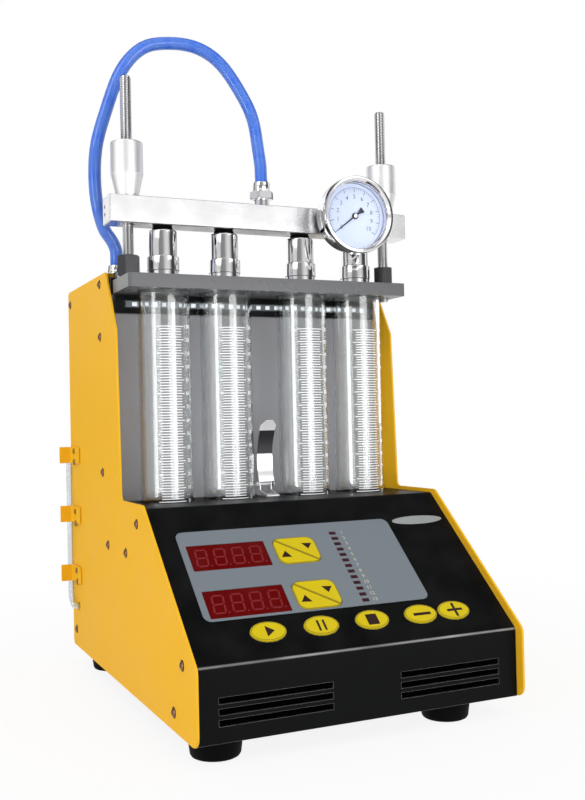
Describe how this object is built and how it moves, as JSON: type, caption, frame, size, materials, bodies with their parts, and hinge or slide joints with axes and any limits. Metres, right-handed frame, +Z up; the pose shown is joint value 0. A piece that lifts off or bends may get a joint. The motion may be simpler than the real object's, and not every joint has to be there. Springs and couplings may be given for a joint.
{
  "type": "fuel injector cleaner and tester",
  "caption": "Bench fuel injector cleaner and tester with a sloped key panel, glass measuring tubes, a clamped fuel rail with a pressure gauge, and a blue hose.",
  "frame": {"origin": "on the standing surface, under the middle of the machine's bounding box", "axes": "+Z up; the front, with the key panel, faces -Y; +X to the right as seen from the front"},
  "size_m": [0.2963, 0.385, 0.5894],
  "materials": {
    "yellow_paint": "warm yellow powder coat, satin",
    "black_paint": "black powder coat, satin",
    "black_block": "black, matt",
    "grey_paint": "mid grey paint, satin",
    "dark_plate": "dark anodised aluminium",
    "tube_glass": "clear polished glass",
    "zinc_steel": "zinc plated steel thread",
    "black_steel": "blackened steel",
    "satin_aluminium": "satin aluminium",
    "polished_metal": "polished nickel plate",
    "black_rubber": "black rubber",
    "dial_face": "pale blue dial paint",
    "needle_black": "dark blue-black paint",
    "blue_hose": "blue translucent hose with a pale braid",
    "grey_label": "grey printed film",
    "red_display": "dark red display blocks",
    "key_yellow": "bright yellow key",
    "clear_tube": "clear plastic tube",
    "tank_plastic": "natural plastic tank",
    "black_plastic": "black moulded plastic"
  },
  "bodies": {
    "base": {"side_panel_left": "yellow_paint", "side_panel_right": "yellow_paint", "tube_clip_1": "yellow_paint", "tube_clip_2": "yellow_paint", "tube_clip_3": "yellow_paint", "base_plate": "black_paint", "control_cover": "black_paint", "rear_cover": "black_paint", "light_bar": "black_paint", "tube_base": "black_block", "bay_back_panel": "grey_paint", "top_plate": "dark_plate", "measuring_tube_1": "tube_glass", "measuring_tube_2": "tube_glass", "measuring_tube_3": "tube_glass", "measuring_tube_4": "tube_glass", "clamp_rod_left": "zinc_steel", "clamp_rod_right": "zinc_steel", "rod_nut_left": "black_steel", "rod_nut_right": "black_steel", "injector_adapter_1": "polished_metal", "injector_adapter_2": "polished_metal", "injector_adapter_3": "polished_metal", "injector_adapter_4": "polished_metal", "hose_fitting_housing": "polished_metal", "latch_base": "polished_metal", "adapter_seal_1": "black_rubber", "adapter_seal_2": "black_rubber", "adapter_seal_3": "black_rubber", "adapter_seal_4": "black_rubber", "foot_front_left": "black_rubber", "foot_front_right": "black_rubber", "foot_back_left": "black_rubber", "foot_back_right": "black_rubber", "fuel_hose": "blue_hose", "control_label": "grey_label", "control_board": "red_display", "level_tube": "clear_tube", "fluid_tank": "tank_plastic", "power_inlet": "black_plastic"},
    "rail": {"fuel_rail": "satin_aluminium", "gauge_case": "polished_metal", "gauge_bezel": "polished_metal", "gauge_dial": "dial_face", "gauge_lens": "tube_glass", "hose_fitting_rail": "polished_metal"},
    "clamp_nut_left": {"clamp_nut_left": "satin_aluminium"},
    "clamp_nut_right": {"clamp_nut_right": "satin_aluminium"},
    "gauge_needle": {"gauge_needle": "needle_black"},
    "latch_lever": {"latch_lever": "polished_metal"},
    "power_switch": {"power_switch": "black_plastic"},
    "key_start": {"key_start": "key_yellow"},
    "key_pause": {"key_pause": "key_yellow"},
    "key_stop": {"key_stop": "key_yellow"},
    "key_minus": {"key_minus": "key_yellow"},
    "key_plus": {"key_plus": "key_yellow"},
    "arrow_key_lower_up": {"arrow_key_lower_up": "key_yellow"},
    "arrow_key_lower_down": {"arrow_key_lower_down": "key_yellow"},
    "arrow_key_upper_up": {"arrow_key_upper_up": "key_yellow"},
    "arrow_key_upper_down": {"arrow_key_upper_down": "key_yellow"}
  },
  "joints": [
    {"name": "rail_lift", "type": "slide", "parent": "base", "child": "rail", "axis": [0, 0, 1], "range_m": [0, 0.05], "deforming": ["fuel_hose"]},
    {"name": "clamp_nut_left_turn", "type": "hinge", "parent": "rail", "child": "clamp_nut_left", "pos_m": [-0.1231, -0.0012, 0.4355], "axis": [0, 0, 1], "range_deg": [0, 12010]},
    {"name": "clamp_nut_right_turn", "type": "hinge", "parent": "rail", "child": "clamp_nut_right", "pos_m": [0.1293, -0.0012, 0.4355], "axis": [0, 0, 1], "range_deg": [0, 12010]},
    {"name": "gauge_needle_turn", "type": "hinge", "parent": "rail", "child": "gauge_needle", "pos_m": [0.0807, -0.0362, 0.4254], "axis": [0, 1, 0], "range_deg": [0, 256], "stiffness_Nm_per_rad": 0.0002},
    {"name": "latch_lever_swing", "type": "hinge", "parent": "base", "child": "latch_lever", "pos_m": [0.0031, 0.005, 0.1815], "axis": [1, 0, 0], "range_deg": [0, 80]},
    {"name": "power_switch_rock", "type": "hinge", "parent": "base", "child": "power_switch", "pos_m": [0.0881, 0.188, 0.0875], "axis": [-1, 0, 0], "range_deg": [0, 14]},
    {"name": "key_start_press", "type": "slide", "parent": "base", "child": "key_start", "axis": [0, 0.6426, -0.7662], "range_m": [0, 0.0005], "stiffness_N_per_m": 2000},
    {"name": "key_pause_press", "type": "slide", "parent": "base", "child": "key_pause", "axis": [0, 0.6426, -0.7662], "range_m": [0, 0.0005], "stiffness_N_per_m": 2000},
    {"name": "key_stop_press", "type": "slide", "parent": "base", "child": "key_stop", "axis": [0, 0.6426, -0.7662], "range_m": [0, 0.0005], "stiffness_N_per_m": 2000},
    {"name": "key_minus_press", "type": "slide", "parent": "base", "child": "key_minus", "axis": [0, 0.6426, -0.7662], "range_m": [0, 0.0005], "stiffness_N_per_m": 2000},
    {"name": "key_plus_press", "type": "slide", "parent": "base", "child": "key_plus", "axis": [0, 0.6426, -0.7662], "range_m": [0, 0.0005], "stiffness_N_per_m": 2000},
    {"name": "arrow_key_lower_up_press", "type": "slide", "parent": "base", "child": "arrow_key_lower_up", "axis": [0, 0.6426, -0.7662], "range_m": [0, 0.0005], "stiffness_N_per_m": 2000},
    {"name": "arrow_key_lower_down_press", "type": "slide", "parent": "base", "child": "arrow_key_lower_down", "axis": [0, 0.6426, -0.7662], "range_m": [0, 0.0005], "stiffness_N_per_m": 2000},
    {"name": "arrow_key_upper_up_press", "type": "slide", "parent": "base", "child": "arrow_key_upper_up", "axis": [0, 0.6426, -0.7662], "range_m": [0, 0.0005], "stiffness_N_per_m": 2000},
    {"name": "arrow_key_upper_down_press", "type": "slide", "parent": "base", "child": "arrow_key_upper_down", "axis": [0, 0.6426, -0.7662], "range_m": [0, 0.0005], "stiffness_N_per_m": 2000}
  ],
  "couplings": [
    {"joint": "clamp_nut_left_turn", "follows": "rail_lift", "rad_per_m": 4188.8},
    {"joint": "clamp_nut_right_turn", "follows": "rail_lift", "rad_per_m": 4188.8}
  ]
}
